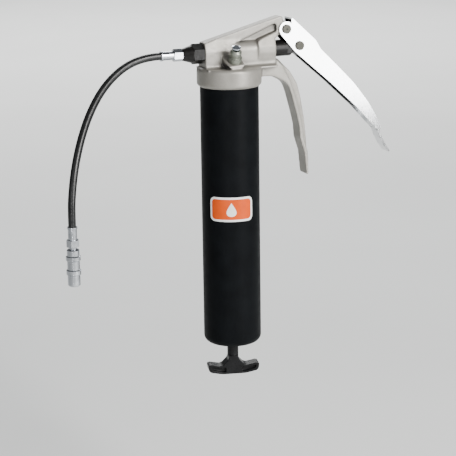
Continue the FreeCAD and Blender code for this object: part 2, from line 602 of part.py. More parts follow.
def outlet():
    corner = "nut_flat / sqrt(3)"
    nut = turned("outlet_nut", [
        ("nut_chamber_r", "nut_spigot_end"), ("nut_spigot_r", "nut_spigot_end"),
        ("nut_spigot_r", "nut_seat"), (corner + " - 0.9", "nut_seat"),
        (corner, "nut_seat - 0.6"), (corner, "nut_knee + 0.6"), ("nut_flat / 2", "nut_knee"),
        ("nut_tip_r", "nut_tip"), ("nut_thread_r", "nut_tip"),
        ("nut_thread_r", "nut_thread_end"), ("nut_passage_r", "nut_thread_end"),
        ("nut_passage_r", "nut_chamber_end"), ("nut_chamber_r", "nut_chamber_end"),
    ], PUMP_LINE)
    cut_hexagon(nut, "outlet_nut", "nut_flat", "nut_knee", "nut_seat")
    node(nut, "outlet_nut")
    node(turned("valve_seat", [
        ("seat_hole_r", "seat_right"), ("nut_chamber_r", "seat_right"),
        ("nut_chamber_r", "seat_left"), ("seat_hole_r", "seat_left"),
    ], PUMP_LINE), "valve_seat")
    ball = doc.addObject("Part::Sphere", "ball")
    ball.setExpression("Radius", formula("ball_r"))
    node(place(ball, ("ball_x", "0", "pump_z")), "check_ball")
    coil("check_spring", "check_coil_r", "check_wire_r", "check_turns",
         "nut_chamber_end", "ball_x - ball_r", PUMP_LINE)
    nipple_corner = "nipple_flat / sqrt(3)"
    nipple = turned("hose_nipple", [
        ("passage_r", "nut_thread_end - 0.5"), ("nipple_spigot_r", "nut_thread_end - 0.5"),
        ("nipple_spigot_r", "nut_tip"), (nipple_corner + " - 0.6", "nut_tip"),
        (nipple_corner, "nut_tip - 0.5"), (nipple_corner, "nipple_left + 0.5"),
        (nipple_corner + " - 0.6", "nipple_left"), ("passage_r", "nipple_left"),
    ], PUMP_LINE)
    cut_hexagon(nipple, "hose_nipple", "nipple_flat", "nipple_left", "nut_tip")
    node(nipple, "hose_nipple")
    node(turned("head_ferrule", [
        ("passage_r", "nipple_left"), ("ferrule_r", "nipple_left"),
        ("ferrule_r", "head_ferrule_end + ferrule_lip + 0.4"),
        ("ferrule_lip_r", "head_ferrule_end + ferrule_lip"),
        ("ferrule_lip_r", "head_ferrule_end"), ("passage_r", "head_ferrule_end"),
    ], PUMP_LINE), "head_ferrule")


# ---------------------------------------------------------------- hose

# The hose leaves the ferrule along -X, arches over and hangs down with its end towards -Y.
HOSE_ROUTE = [
    (-69.5, 0, 158), (-84, 0, 158), (-106.5, -3, 151.5), (-129, -10.5, 136),
    (-147, -21, 115), (-160.5, -32, 91.5), (-170.5, -42, 66), (-176, -48.5, 41),
    (-177, -50, 27), (-177, -50, 15),
]
ARC_SHARE = 0.45


def hose():
    points = [FreeCAD.Vector(*point) for point in HOSE_ROUTE]
    edges = []
    start = points[0]
    for before, corner, after in zip(points, points[1:], points[2:]):
        back = (before - corner).normalize()
        onward = (after - corner).normalize()
        half_turn = (math.pi - back.getAngle(onward)) / 2
        tangent = ARC_SHARE * min((before - corner).Length, (after - corner).Length)
        radius = tangent / math.tan(half_turn)
        print("hose bend radius %.1f mm" % radius)
        arc_start = corner + back * tangent
        arc_end = corner + onward * tangent
        inward = (back + onward).normalize()
        centre = corner + inward * (radius / math.cos(half_turn))
        middle = centre - inward * radius
        edges.append(Part.LineSegment(start, arc_start).toShape())
        edges.append(Part.Arc(arc_start, middle, arc_end).toShape())
        start = arc_end
    edges.append(Part.LineSegment(start, points[-1]).toShape())
    path = Part.Wire(edges)
    radius = size("hose_r")
    section = Part.Wire(Part.makeCircle(radius, points[0], points[1] - points[0]))
    tube = path.makePipeShell([section], True, True)
    print("hose length %.1f mm, volume over section times length %.4f"
          % (path.Length, tube.Volume / (math.pi * radius ** 2 * path.Length)))
    piece = doc.addObject("Part::Feature", "hose_tube")
    piece.Shape = tube
    piece.Placement = FreeCAD.Placement()
    node(piece, "hose")


# ---------------------------------------------------------------- coupler

def coupler():
    node(turned("coupler_ferrule", [
        ("passage_r", "hose_end_z"), ("ferrule_lip_r", "hose_end_z"),
        ("ferrule_lip_r", "hose_end_z - ferrule_lip"),
        ("ferrule_r", "hose_end_z - ferrule_lip - 0.4"), ("ferrule_r", "lower_ferrule_low"),
        ("passage_r", "lower_ferrule_low"),
    ], COUPLER_LINE), "coupler_ferrule")
    corner = "nipple_flat / sqrt(3)"
    stem = turned("coupler_stem", [
        ("passage_r", "lower_ferrule_low"), (corner + " - 0.6", "lower_ferrule_low"),
        (corner, "lower_ferrule_low - 0.5"), (corner, "stem_low + 0.5"),
        (corner + " - 0.6", "stem_low"), ("stem_neck_r", "stem_low"),
        ("stem_neck_r", "stem_neck_low"), ("stem_thread_r", "stem_neck_low"),
        ("stem_thread_r", "stem_thread_low"), ("passage_r", "stem_thread_low"),
    ], COUPLER_LINE)
    cut_hexagon(stem, "coupler_stem", "nipple_flat", "stem_low", "lower_ferrule_low")
    node(stem, "coupler_stem")
    node(turned("coupler_body", [
        ("coupler_thread_r", "stem_neck_low"), ("coupler_r - 0.8", "stem_neck_low"),
        ("coupler_r", "stem_neck_low - 0.8"), ("coupler_r", "band_one_top"),
        ("coupler_band_r", "band_one_top - band_bevel"),
        ("coupler_band_r", "band_one_low + band_bevel"), ("coupler_r", "band_one_low"),
        ("coupler_r", "band_two_top"), ("coupler_band_r", "band_two_top - band_bevel"),
        ("coupler_band_r", "band_two_low + band_bevel"), ("coupler_r", "band_two_low"),
        ("coupler_r", "coupler_low + 1.2"), ("coupler_r - 1", "coupler_low"),
        ("mouth_r", "coupler_low"), ("mouth_r", "coupler_chamber_low"),
        ("coupler_chamber_r", "coupler_chamber_low"),
        ("coupler_chamber_r", "coupler_chamber_top"), ("coupler_thread_r", "coupler_chamber_top"),
    ], COUPLER_LINE), "coupler_body")
    ring = turned("jaw_ring", [
        ("jaw_in_r", "jaw_low"), ("jaw_r", "jaw_low"), ("jaw_r", "jaw_top"),
        ("jaw_in_r", "jaw_top"),
    ], COUPLER_LINE)
    gaps = []
    for index in range(3):
        gap = doc.addObject("Part::Cylinder", "jaw_gap_%d" % index)
        gap.setExpression("Radius", formula("2 * jaw_r"))
        gap.setExpression("Height", formula("jaw_top - jaw_low + 2"))
        gap.setExpression("Angle", formula("jaw_gap_angle"))
        place(gap, ("hose_end_x", "hose_end_y", "jaw_low - 1"),
              FreeCAD.Rotation(FreeCAD.Vector(0, 0, 1), 120 * index))
        gaps.append(gap)
    node(cut("jaw_set", ring, gaps), "coupler_jaws")
    node(turned("coupler_seal", [
        ("cup_seal_in_r", "cup_seal_low"), ("jaw_r", "cup_seal_low"),
        ("jaw_r", "cup_seal_top"), ("cup_seal_in_r", "cup_seal_top"),
    ], COUPLER_LINE), "coupler_seal")
    coil("coupler_spring", "coupler_coil_r", "coupler_wire_r", "coupler_turns",
         "cup_seal_top", "coupler_chamber_top", COUPLER_LINE)


# ---------------------------------------------------------------- bleeder

def bleeder():
    node(turned("bleeder_body", [
        ("bleed_vent_r", "bleed_thread_low"), ("bleed_thread_r", "bleed_thread_low"),
        ("bleed_thread_r", "0"), ("bleed_r", "0"), ("bleed_r", "bleed_base"),
        ("bleed_waist_r", "bleed_waist_low"), ("bleed_waist_r", "bleed_waist_top"),
        ("bleed_bulge_r", "bleed_bulge_low"), ("bleed_bulge_r", "bleed_bulge_top"),
        ("bleed_top_r", "bleed_top"), ("bleed_cup_r", "bleed_top"),
        ("bleed_cup_r", "bleed_cup_low"), ("bleed_bore_r", "bleed_cup_low"),
        ("bleed_bore_r", "bleed_bore_low"), ("bleed_vent_r", "bleed_bore_low"),
    ], BLEEDER_LINE), "bleeder_body")
    node(turned("bleeder_pin", [
        ("0", "button_stem_low"), ("button_stem_r", "button_stem_low"),
        ("button_stem_r", "button_neck"), ("button_r - 0.4", "button_disc_low"),
        ("button_r", "button_disc_low"), ("button_r", "button_disc_top"),
        ("0.6 * button_r", "button_top"), ("0", "button_top"),
    ], BLEEDER_LINE), "bleeder_pin")
    coil("bleeder_spring", "bleed_coil_r", "bleed_wire_r", "bleed_turns",
         "bleed_bore_low", "button_stem_low", BLEEDER_LINE)


# ---------------------------------------------------------------- follower and pull rod

def follower():
    hole = "rod_r + rod_play"
    node(turned("follower_cup", [
        (hole, "plate_low + 2"), ("plate_r + 0.2", "plate_low + 2"),
        ("follower_in_r", "follower_low"), ("follower_r", "follower_low"),
        ("follower_r", "follower_top - 1"), ("follower_r - 1", "follower_top"),
        (hole, "follower_top"),
    ]), "follower_cup")
    node(turned("follower_plate", [
        (hole, "plate_low"), ("plate_r", "plate_low"), ("plate_r", "plate_low + 2"),
        (hole, "plate_low + 2"),
    ]), "follower_plate")
    node(turned("follower_rod", [
        ("0", "rod_low"), ("rod_r", "rod_low"), ("rod_r", "rod_top - 0.6"),
        ("rod_r - 0.6", "rod_top"), ("0", "rod_top"),
    ]), "follower_rod")
    corner = "rod_nut_flat / sqrt(3)"
    nut = turned("follower_nut", [
        ("rod_r", "rod_nut_low"), (corner, "rod_nut_low"), (corner, "rod_nut_top - 0.5"),
        (corner + " - 0.8", "rod_nut_top"), ("rod_r", "rod_nut_top"),
    ])
    cut_hexagon(nut, "follower_nut", "rod_nut_flat", "rod_nut_low", "rod_nut_top")
    node(nut, "follower_nut")
    coil("follower_spring", "spring_coil_r", "spring_wire_r", "spring_turns",
         "tube_low + tube_wall", "plate_low")


def pull_handle():
    stem = turned("handle_stem", [
        ("0", "bar_low + 4"), ("stem_r", "bar_low + 4"), ("stem_r", "stem_top - 0.6"),
        ("stem_r - 0.6", "stem_top"), ("0", "stem_top"),
    ])
    outline = [
        ("-bar_half", "bar_top - 0.6"), ("-bar_half + 0.8", "bar_end_low"),
        ("-12", "bar_low + 0.9"), ("12", "bar_low + 0.9"),
        ("bar_half - 0.8", "bar_end_low"), ("bar_half", "bar_top - 0.6"),
        ("bar_half - 3", "bar_top"), ("12", "bar_top - 2.2"), ("stem_r", "bar_sag + 2"),
        ("stem_r - 1", "bar_sag + 6"), ("-stem_r + 1", "bar_sag + 6"),
        ("-stem_r", "bar_sag + 2"), ("-12", "bar_top - 2.2"), ("-bar_half + 3", "bar_top"),
    ]
    bar = slab("handle_bar", outline, "bar_depth_half",
               [(0, 2.4), (1, 4.5), (2, 40), (3, 40), (4, 4.5), (5, 2.4), (6, 2), (13, 2),
                (7, 6), (12, 6), (8, 4), (11, 4)])
    pockets = []
    for side, sign in (("left", "-"), ("right", "")):
        inner = [(sign + "(stem_r + 2.4)", "bar_low + 3.2"), (sign + "(12)", "bar_low + 3.2"),
                 (sign + "(bar_half - 4.4)", "bar_end_low + 2.2"),
                 (sign + "(bar_half - 3)", "bar_top - 2.6"),
                 (sign + "(12)", "bar_top - 4.2"), (sign + "(stem_r + 2.4)", "bar_top - 3.4")]
        opening = slab("handle_pocket_" + side, inner, "bar_depth_half + 1")
        web = box("handle_web_" + side, ("-bar_half", "-(bar_depth_half - bar_pocket)", "bar_low"),
                  ("bar_half", "bar_depth_half - bar_pocket", "bar_top + 5"))
        pockets.append(cut("handle_recess_" + side, opening, [web]))
    socket = rod("handle_socket", "rod_r", "stem_top - rod_socket_low + 1",
                 ("0", "0", "rod_socket_low"))
    finished = cut("handle_finished", join("handle_solid", [stem, bar]), pockets + [socket])
    place(finished, ("0", "0", "0"),
          FreeCAD.Rotation(FreeCAD.Vector(0, 0, 1), size("bar_turn")))
    node(finished, "t_handle")


barrel()
pump_head()
hand_lever()
cross_pin("pivot_pin", "pivot_x", "pivot_z", "pivot_pin_r")
cross_pin("drive_pin", "drive_x", "drive_z", "drive_pin_r")
pump_parts()
outlet()
hose()
coupler()
bleeder()
follower()
pull_handle()
doc.recompute()

for thing in doc.Objects:
    if "Invalid" in thing.State or "Error" in thing.State:
        raise RuntimeError("%s did not recompute: %s" % (thing.Label, thing.State))
for piece in NODES:
    if piece.Shape.isNull() or not piece.Shape.isValid():
        raise RuntimeError(piece.Label + " has no valid shape")

os.makedirs("parts", exist_ok=True)
for piece in NODES:
    piece.Shape.exportStep("parts/%s.step" % piece.Label)
    print("%-18s %d solid(s) %10.1f mm3" % (piece.Label, len(piece.Shape.Solids),
                                            piece.Shape.Volume))
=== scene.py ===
import json
import math

import bmesh
import bpy
from mathutils import Matrix, Vector


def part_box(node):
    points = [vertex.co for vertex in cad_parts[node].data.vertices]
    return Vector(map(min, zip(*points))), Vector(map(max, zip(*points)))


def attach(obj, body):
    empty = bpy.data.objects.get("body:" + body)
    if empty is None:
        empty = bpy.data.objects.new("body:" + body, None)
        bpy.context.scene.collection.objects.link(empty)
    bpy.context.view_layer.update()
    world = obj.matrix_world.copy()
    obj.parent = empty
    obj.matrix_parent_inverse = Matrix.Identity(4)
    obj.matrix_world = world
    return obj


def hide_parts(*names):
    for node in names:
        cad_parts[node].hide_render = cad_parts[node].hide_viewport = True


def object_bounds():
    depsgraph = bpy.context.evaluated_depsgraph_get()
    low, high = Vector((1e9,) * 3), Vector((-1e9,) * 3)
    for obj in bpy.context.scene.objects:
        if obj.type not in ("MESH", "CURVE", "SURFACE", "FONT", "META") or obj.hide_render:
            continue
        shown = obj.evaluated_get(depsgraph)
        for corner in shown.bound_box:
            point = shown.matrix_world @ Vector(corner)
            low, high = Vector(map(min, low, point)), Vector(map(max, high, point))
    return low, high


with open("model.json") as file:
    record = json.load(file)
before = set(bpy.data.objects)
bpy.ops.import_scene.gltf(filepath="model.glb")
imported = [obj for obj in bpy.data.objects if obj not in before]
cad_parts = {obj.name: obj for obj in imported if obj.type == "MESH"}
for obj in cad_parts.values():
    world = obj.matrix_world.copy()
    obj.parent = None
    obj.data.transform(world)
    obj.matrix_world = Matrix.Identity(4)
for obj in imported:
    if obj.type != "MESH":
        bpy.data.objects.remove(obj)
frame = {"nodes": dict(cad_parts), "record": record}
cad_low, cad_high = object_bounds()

# A one-hand grease gun in a pale studio. +Z runs up the barrel and +X points to the hand lever.
# The camera, the lamps and the floor are placed in metres. The sizes of the gun's own features
# are in millimetres, and MM turns them into metres.

MM = 0.001


# ---------------------------------------------------------------- camera

CAMERA_SPOT = (-0.58884, -1.45744, 0.3835)
CAMERA_YAW, CAMERA_TILT, CAMERA_ROLL = (math.radians(turn) for turn in (21.886, 14.284, -0.816))
LENS_LENGTH = 129.95
SENSOR_WIDTH = 36


def make_camera():
    """A long lens to the left of the gun's front, a little above the head."""
    ahead = Vector((math.sin(CAMERA_YAW) * math.cos(CAMERA_TILT),
                    math.cos(CAMERA_YAW) * math.cos(CAMERA_TILT),
                    -math.sin(CAMERA_TILT)))
    right = Vector((math.cos(CAMERA_YAW), -math.sin(CAMERA_YAW), 0))
    up = right.cross(ahead)
    turned_right = right * math.cos(CAMERA_ROLL) + up * math.sin(CAMERA_ROLL)
    turned_up = up * math.cos(CAMERA_ROLL) - right * math.sin(CAMERA_ROLL)
    camera = bpy.data.objects.new("camera", bpy.data.cameras.new("camera"))
    bpy.context.scene.collection.objects.link(camera)
    axes = Matrix((turned_right, turned_up, -ahead)).transposed().to_4x4()
    camera.matrix_world = Matrix.Translation(CAMERA_SPOT) @ axes
    camera.data.lens = LENS_LENGTH
    camera.data.sensor_width = SENSOR_WIDTH
    bpy.context.scene.camera = camera


make_camera()


# ---------------------------------------------------------------- finishes

# The sockets of a Mix node that blends colours: three inputs and the result.
MIX_SHARE, MIX_FIRST, MIX_SECOND = 0, 6, 7
MIX_RESULT = 2


class Finish:
    """A Principled material whose colour, roughness and relief come from noise."""

    def __init__(self, name, **sockets):
        self.material = bpy.data.materials.new(name)
        self.material.use_nodes = True
        self.tree = self.material.node_tree
        self.shader = self.tree.nodes["Principled BSDF"]
        for socket, value in sockets.items():
            self.shader.inputs[socket.replace("_", " ")].default_value = value
        self.place = self.tree.nodes.new("ShaderNodeTexCoord").outputs["Object"]
        self.relief = None

    def link(self, source, target):
        self.tree.links.new(source, target)

    def add(self, kind, **inputs):
        """A shader node of that kind, its inputs linked to sockets or set to plain values."""
        made = self.tree.nodes.new("ShaderNode" + kind)
        for name, value in inputs.items():
            socket = made.inputs[name]
            if isinstance(value, bpy.types.NodeSocket):
                self.link(value, socket)
            else:
                socket.default_value = value
        return made

    def stretched(self, stretch, turn=(0, 0, 0)):
        """The place on the piece, turned and then scaled along each axis."""
        mapped = self.add("Mapping", Vector=self.place)
        mapped.inputs["Rotation"].default_value = turn
        mapped.inputs["Scale"].default_value = stretch
        return mapped.outputs["Vector"]

    def noise(self, grain, detail=3.0, rough=0.55, vector=None):
        """Noise whose grain is about that many millimetres across."""
        made = self.add("TexNoise", Vector=vector or self.place, Scale=1 / (grain * MM),
                        Detail=detail, Roughness=rough)
        return made.outputs["Fac"]

    def spread(self, value, low, high, from_low=0.3, from_high=0.7):
        """Maps a value onto a new range, by default from the range that most noise keeps to."""
        made = self.add("MapRange", Value=value)
        made.inputs["From Min"].default_value = from_low
        made.inputs["From Max"].default_value = from_high
        made.inputs["To Min"].default_value = low
        made.inputs["To Max"].default_value = high
        return made.outputs["Result"]

    def combine(self, operation, *values):
        """The result of a Math node on those sockets."""
        made = self.tree.nodes.new("ShaderNodeMath")
        made.operation = operation
        for value, socket in zip(values, made.inputs):
            self.link(value, socket)
        return made.outputs["Value"]

    def blend(self, share, first, second):
        """A colour between two colours or sockets, by a socket's share of the second."""
        made = self.tree.nodes.new("ShaderNodeMix")
        made.data_type = "RGBA"
        self.link(share, made.inputs[MIX_SHARE])
        for index, colour in ((MIX_FIRST, first), (MIX_SECOND, second)):
            if isinstance(colour, bpy.types.NodeSocket):
                self.link(colour, made.inputs[index])
            else:
                made.inputs[index].default_value = (*colour, 1)
        return made.outputs[MIX_RESULT]

    def mottle(self, grain, detail, first, second):
        """Two colours mixed by noise."""
        return self.blend(self.spread(self.noise(grain, detail), 0, 1), first, second)

    def paint(self, colour):
        self.link(colour, self.shader.inputs["Base Color"])
        return self

    def rub(self, low, high, noise):
        """Roughness that noise moves between two values."""
        self.link(self.spread(noise, low, high), self.shader.inputs["Roughness"])
        return self

    def emboss(self, height, depth, strength):
        """Relief of that many millimetres, on top of any relief already there."""
        made = self.add("Bump", Height=height, Strength=strength, Distance=depth * MM)
        if self.relief:
            self.link(self.relief, made.inputs["Normal"])
        self.relief = made.outputs["Normal"]
        self.link(self.relief, self.shader.inputs["Normal"])
        return self

    def edges(self):
        """1 on worn corners, 0 elsewhere."""
        sharp = self.tree.nodes.new("ShaderNodeNewGeometry").outputs["Pointiness"]
        return self.spread(sharp, 0, 1, 0.52, 0.6)

    def bend_reflection_mask(self):
        """1 where a channel's surface turns between its cheeks and its web, 0 on both: where the
        lever's dark reflection is painted.
        """
        normal = self.tree.nodes.new("ShaderNodeTexCoord").outputs["Normal"]
        sideways = self.combine("ABSOLUTE", self.add("SeparateXYZ", Vector=normal).outputs["Y"])
        off_cheeks = self.spread(sideways, 1, 0, 0.955, 0.992)
        off_web = self.spread(sideways, 0, 1, 0.1, 0.3)
        return self.combine("MULTIPLY", off_cheeks, off_web)

    def hollow_shade_mask(self, reach):
        """1 in corners and recesses about that many millimetres deep, 0 on open faces: where shade
        is painted.
        """
        shade = self.add("AmbientOcclusion", Distance=reach * MM).outputs["AO"]
        return self.spread(shade, 1, 0, 0.25, 0.85)


def cast_aluminium():
    """Grainy bare casting, lighter on its worn corners, with shade painted darker into its
    recesses.
    """
    f = Finish("cast_aluminium", Metallic=0.45, Specular_IOR_Level=0.4)
    cloud = f.noise(14, 4)
    tone = f.blend(f.spread(cloud, 0, 1), (0.27, 0.257, 0.232), (0.335, 0.321, 0.293))
    tone = f.blend(f.spread(f.noise(0.55, 2), 0, 0.35), tone, (0.21, 0.199, 0.178))
    tone = f.blend(f.edges(), tone, (0.50, 0.49, 0.46))
    # Painted shade: corners and recesses blend towards near-black.
    tone = f.blend(f.hollow_shade_mask(12), tone, (0.07, 0.066, 0.06))
    f.paint(tone).rub(0.38, 0.5, f.noise(3, 3))
    return f.emboss(f.noise(0.7, 3, 0.6), 0.05, 0.5).emboss(cloud, 0.35, 0.3).material


def black_paint():
    """Satin paint with a faint orange peel."""
    f = Finish("black_paint", Specular_IOR_Level=0.08, IOR=1.35)
    f.paint(f.mottle(20, 3, (0.0026, 0.003, 0.0036), (0.0042, 0.005, 0.006)))
    f.rub(0.4, 0.5, f.noise(6, 4))
    return f.emboss(f.noise(0.9, 2, 0.5), 0.02, 0.6).material


def moulded_plastic():
    f = Finish("moulded_plastic", Specular_IOR_Level=0.14)
    f.paint(f.mottle(8, 3, (0.004, 0.0042, 0.0046), (0.008, 0.0082, 0.0088)))
    f.rub(0.24, 0.36, f.noise(4, 3))
    return f.emboss(f.noise(0.45, 2), 0.02, 0.5).material


def hose_rubber():
    f = Finish("hose_rubber", Specular_IOR_Level=0.35)
    f.paint(f.mottle(9, 3, (0.0055, 0.0058, 0.0062), (0.012, 0.0124, 0.013)))
    f.rub(0.24, 0.4, f.noise(2.5, 4))
    return f.emboss(f.noise(1.2, 3), 0.05, 0.5).material


def plated(name, low, high, grain, rough, metallic=1.0, scuff=0.02, shine=0.5):
    """Bare, plated or blackened metal with a mottled tone and fine scuffs."""
    f = Finish(name, Metallic=metallic, Specular_IOR_Level=shine)
    f.paint(f.mottle(grain, 4, low, high)).rub(*rough, f.noise(grain * 0.6, 5, 0.65))
    return f.emboss(f.noise(0.5, 4, 0.6), scuff, 0.5).material


def chrome_lever():
    """Brushed bright plating, with a dark reflection painted where the sheet turns between cheek
    and web.
    """
    f = Finish("chrome_lever", Specular_IOR_Level=0.0)
    bend_reflection_mask = f.bend_reflection_mask()
    bright = f.mottle(25, 3, (0.80, 0.81, 0.82), (0.88, 0.89, 0.90))
    # Painted reflection: where the sheet turns it gets a near-black, less metallic colour in place
    # of a mirrored dark surrounding.
    f.paint(f.blend(bend_reflection_mask, bright, (0.012, 0.016, 0.024)))
    f.link(f.spread(bend_reflection_mask, 1, 0, 0, 1), f.shader.inputs["Metallic"])
    along_the_lever = f.stretched((1, 1, 0.06), (0, math.radians(-40), 0))
    brushed = f.noise(0.6, 3, 0.6, along_the_lever)
    f.rub(0.07, 0.16, brushed)
    return f.emboss(brushed, 0.006, 0.5).emboss(f.noise(18, 2), 0.12, 0.25).material


def centred_pin():
    """Dull turned steel, with shade painted as a dark spot where the lathe centre's hollow sits in
    the middle of the pivot pin's head.
    """
    f = Finish("centred_pin", Metallic=0.3, Specular_IOR_Level=0.25)
    low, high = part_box("pivot_pin")
    gap = f.tree.nodes.new("ShaderNodeVectorMath")
    gap.operation = "DISTANCE"
    f.link(f.stretched((1, 0, 1)), gap.inputs[0])
    gap.inputs[1].default_value = ((low.x + high.x) / 2, 0, (low.z + high.z) / 2)
    centre_hollow_shade = f.spread(gap.outputs["Value"], 1, 0, 0.6 * MM, 1.1 * MM)
    tone = f.mottle(1.6, 4, (0.065, 0.064, 0.054), (0.10, 0.098, 0.083))
    # Painted shade: the centre hollow is painted near-black.
    f.paint(f.blend(centre_hollow_shade, tone, (0.014, 0.014, 0.012))).rub(0.45, 0.6, f.noise(1, 3))
    return f.emboss(f.noise(0.5, 4, 0.6), 0.02, 0.5).material


def rubber(name, low, high, rough=(0.5, 0.7)):
    """A matt seal or bush."""
    f = Finish(name, Specular_IOR_Level=0.35)
    f.paint(f.mottle(3, 3, low, high)).rub(*rough, f.noise(2, 3))
    return f.emboss(f.noise(0.4, 3), 0.03, 0.5).material


def printed(name, low, high):
    """Ink on vinyl film."""
    f = Finish(name, Specular_IOR_Level=0.2)
    f.paint(f.mottle(7, 2, low, high)).rub(0.3, 0.42, f.noise(3, 3))
    return f.emboss(f.noise(1.5, 2), 0.01, 0.4).material


FINISHES = {
    "cast_aluminium": cast_aluminium(),
    "black_tube": black_paint(),
    "handle_plastic": moulded_plastic(),
    "hose_rubber": hose_rubber(),
    "black_oxide": plated("black_oxide", (0.004, 0.004, 0.004), (0.008, 0.0072, 0.0066),
                          grain=4, rough=(0.26, 0.38), metallic=0, shine=0.22),
    "zinc_plate": plated("zinc_plate", (0.42, 0.44, 0.47), (0.56, 0.58, 0.62),
                         grain=5, rough=(0.12, 0.2), scuff=0.004),
    "chrome_lever": chrome_lever(),
    "chrome_pin": plated("chrome_pin", (0.66, 0.71, 0.78), (0.78, 0.82, 0.87),
                         grain=2, rough=(0.06, 0.14)),
    "pin_steel": plated("pin_steel", (0.055, 0.054, 0.044), (0.09, 0.088, 0.074),
                        grain=1.6, rough=(0.45, 0.6), metallic=0.3, shine=0.25),
    "bright_steel": plated("bright_steel", (0.55, 0.55, 0.55), (0.68, 0.68, 0.67),
                           grain=3, rough=(0.16, 0.28)),
    "spring_steel": plated("spring_steel", (0.28, 0.28, 0.29), (0.42, 0.42, 0.42),
                           grain=1.5, rough=(0.25, 0.4)),
    "bleeder_zinc": plated("bleeder_zinc", (0.20, 0.215, 0.18), (0.29, 0.305, 0.26),
                           grain=1.8, rough=(0.32, 0.46), metallic=0.8),
    "seal_rubber": rubber("seal_rubber", (0.012, 0.012, 0.013), (0.024, 0.024, 0.025)),
    "bush_plastic": rubber("bush_plastic", (0.55, 0.54, 0.50), (0.64, 0.63, 0.59),
                           rough=(0.4, 0.55)),
    "label_film": printed("label_white", (0.78, 0.78, 0.76), (0.84, 0.84, 0.83)),
}
LABEL_ORANGE = printed("label_orange", (0.56, 0.062, 0.0015), (0.62, 0.074, 0.002))


# ---------------------------------------------------------------- mesh helpers

def add_object(name, mesh, finish):
    made = bpy.data.objects.new(name, mesh)
    bpy.context.scene.collection.objects.link(made)
    made.data.materials.clear()
    made.data.materials.append(finish)
    made.data.shade_smooth()
    return made


def softened(node, name, voxel, rounds, finish):
    """A copy of a node with its corners and fillets softened, like a casting's or a moulding's."""
    copy = bpy.data.objects.new("soft", frame["nodes"][node].data.copy())
    bpy.context.scene.collection.objects.link(copy)
    remesh = copy.modifiers.new("remesh", "REMESH")
    remesh.mode = "VOXEL"
    remesh.voxel_size = voxel * MM
    smooth = copy.modifiers.new("smooth", "SMOOTH")
    smooth.factor = 0.5
    smooth.iterations = rounds
    graph = bpy.context.evaluated_depsgraph_get()
    mesh = bpy.data.meshes.new_from_object(copy.evaluated_get(graph))
    bpy.data.objects.remove(copy)
    return add_object(name, mesh, finish)


def broken_edges(node, wide):
    """Breaks a pressed piece's corners by up to that many millimetres, on the node itself."""
    piece = frame["nodes"][node]
    piece.modifiers.new("weld", "WELD").merge_threshold = 0.002 * MM
    bevel = piece.modifiers.new("bevel", "BEVEL")
    bevel.width = wide * MM
    bevel.segments = 3
    bevel.limit_method = "ANGLE"
    bevel.angle_limit = math.radians(40)
    bevel.harden_normals = True


def stand_in(made, body, slot, *nodes):
    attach(made, body)
    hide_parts(*nodes)


# ---------------------------------------------------------------- hose

# The route's control points, in millimetres, the same as the solid tube's.
HOSE_ROUTE = [
    (-69.5, 0, 158), (-84, 0, 158), (-106.5, -3, 151.5), (-129, -10.5, 136),
    (-147, -21, 115), (-160.5, -32, 91.5), (-170.5, -42, 66), (-176, -48.5, 41),
    (-177, -50, 27), (-177, -50, 15),
]
HOSE_RADIUS = 3.6


def hose():
    curve = bpy.data.curves.new("delivery_hose", "CURVE")
    curve.dimensions = "3D"
    spline = curve.splines.new("NURBS")
    spline.points.add(len(HOSE_ROUTE) - 1)
    for point, spot in zip(spline.points, HOSE_ROUTE):
        point.co = (*(Vector(spot) * MM), 1)
    spline.order_u = 3
    spline.use_endpoint_u = True
    spline.resolution_u = 12
    curve.bevel_depth = HOSE_RADIUS * MM
    curve.bevel_resolution = 12
    curve.materials.append(FINISHES["hose_rubber"])
    made = bpy.data.objects.new("delivery_hose", curve)
    bpy.context.scene.collection.objects.link(made)
    stand_in(made, "root", "hose_rubber", "hose")


hose()


# ---------------------------------------------------------------- castings and mouldings

head_casting = softened("pump_head", "head_casting", voxel=0.7, rounds=8,
                        finish=FINISHES["cast_aluminium"])
stand_in(head_casting, "root", "cast_aluminium", "pump_head")
pull_handle = softened("t_handle", "pull_handle", voxel=0.45, rounds=6,
                       finish=FINISHES["handle_plastic"])
stand_in(pull_handle, "pull_rod", "handle_plastic", "t_handle")
broken_edges("lever", wide=0.7)


# ---------------------------------------------------------------- label

STICKER_HALF_WIDE = 22.3
STICKER_HALF_TALL = 12
STICKER_CORNER = 5
STICKER_BORDER = 2
FIELD_CORNER = 3.6
DROP_REACH = 7
# The film stands off the barrel, and each printed layer off the one below it.
FILM_LIFT = 0.06
INK_LIFT = 0.04


def curved_patch(name, outline, radius, middle, facing, finish, rings=14):
    """A thin star-shaped film wrapped round the barrel, from its outline in millimetres."""
    mesh = bpy.data.meshes.new(name)
    made = bmesh.new()
    across_way = Vector((math.cos(facing), math.sin(facing), 0))
    out_way = Vector((math.sin(facing), -math.cos(facing), 0))

    def spot(u, v):
        turn = u * MM / radius
        return (across_way * math.sin(turn) + out_way * math.cos(turn)) * radius + \
            Vector((0, 0, middle + v * MM))

    centre = made.verts.new(spot(0, 0))
    loops = []
    for ring in range(1, rings + 1):
        share = ring / rings
        loops.append([made.verts.new(spot(u * share, v * share)) for u, v in outline])
    count = len(outline)
    for index in range(count):
        after = (index + 1) % count
        made.faces.new((centre, loops[0][index], loops[0][after]))
        for inner, outer in zip(loops, loops[1:]):
            made.faces.new((inner[index], outer[index], outer[after], inner[after]))
    made.normal_update()
    made.to_mesh(mesh)
    made.free()
    return add_object(name, mesh, finish)


def closely_spaced(points, gap=0.8):
    """The same closed outline with its long sides divided, so that it can follow a curve."""
    spaced = []
    for (u, v), (next_u, next_v) in zip(points, points[1:] + points[:1]):
        count = max(1, math.ceil(math.hypot(next_u - u, next_v - v) / gap))
        spaced += [(u + (next_u - u) * step / count, v + (next_v - v) * step / count)
                   for step in range(count)]
    return spaced


